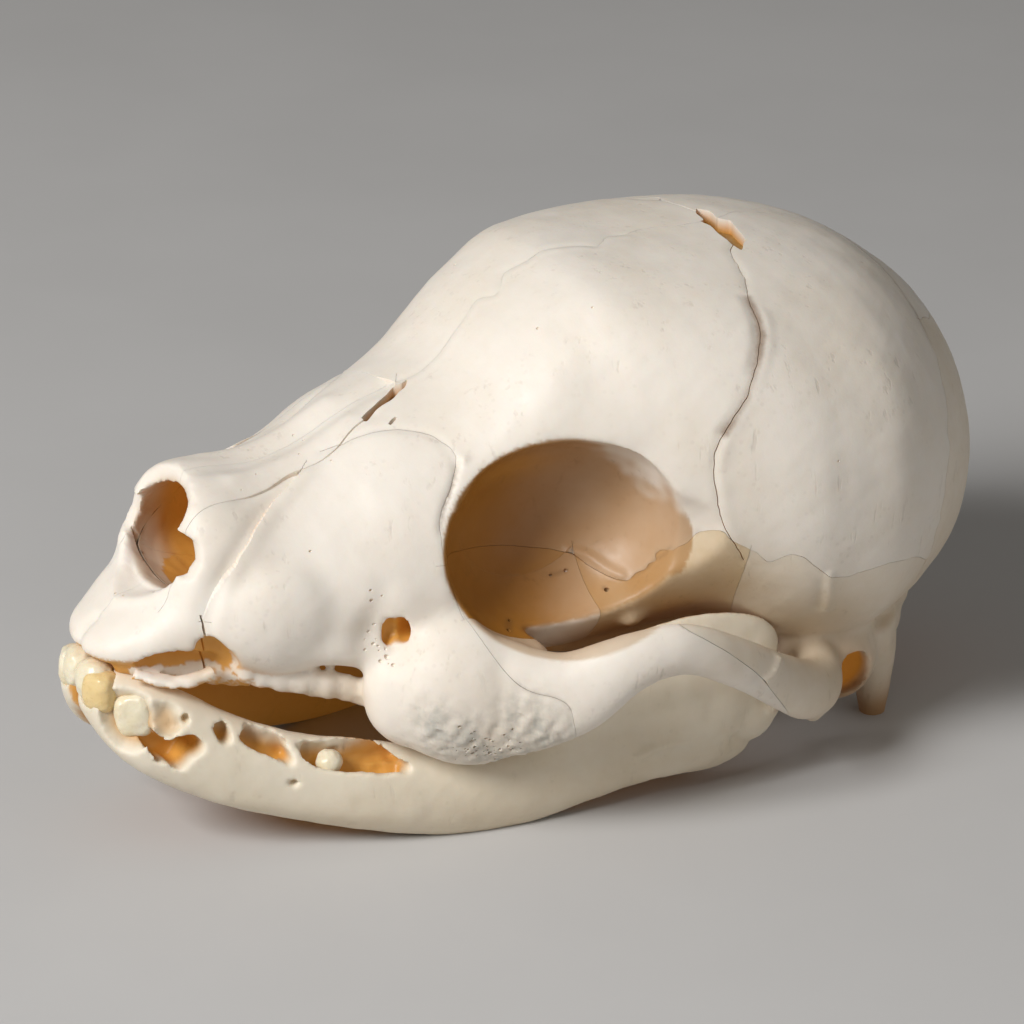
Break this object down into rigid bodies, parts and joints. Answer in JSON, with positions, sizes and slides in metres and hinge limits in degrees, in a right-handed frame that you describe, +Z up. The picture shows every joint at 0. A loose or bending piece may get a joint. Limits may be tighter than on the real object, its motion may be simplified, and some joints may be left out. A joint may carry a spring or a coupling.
{
  "type": "puppy skull",
  "caption": "Skull of a very young puppy with its lower jaw closed beneath it, parted at its open sutures, life-size.",
  "frame": {"origin": "middle of the bounding box's base, on the surface the skull rests on", "axes": "-Y towards the tip of the snout, +X towards the animal's left, +Z up"},
  "size_m": [0.0438, 0.0734, 0.0399],
  "materials": {
    "vault_bone": "smooth dry bone, fine pores",
    "face_bone": "smooth dry bone, fine pores",
    "inner_bone": "thin amber-stained bone",
    "base_bone": "dry bone, lightly stained",
    "jaw_bone": "dry bone with cream milk-tooth crowns"
  },
  "bodies": {
    "root": {"nasal_left": "face_bone", "nasal_right": "face_bone", "premaxilla_left": "face_bone", "premaxilla_right": "face_bone", "maxilla_left": "face_bone", "maxilla_right": "face_bone", "zygomatic_left": "face_bone", "zygomatic_right": "face_bone", "frontal_left": "vault_bone", "frontal_right": "vault_bone", "parietal_left": "vault_bone", "parietal_right": "vault_bone", "interparietal": "vault_bone", "occipital": "base_bone", "temporal_left": "base_bone", "temporal_right": "base_bone", "sphenoid": "inner_bone", "palatine": "inner_bone", "mandible_left": "jaw_bone", "mandible_right": "jaw_bone"}
  },
  "joints": []
}
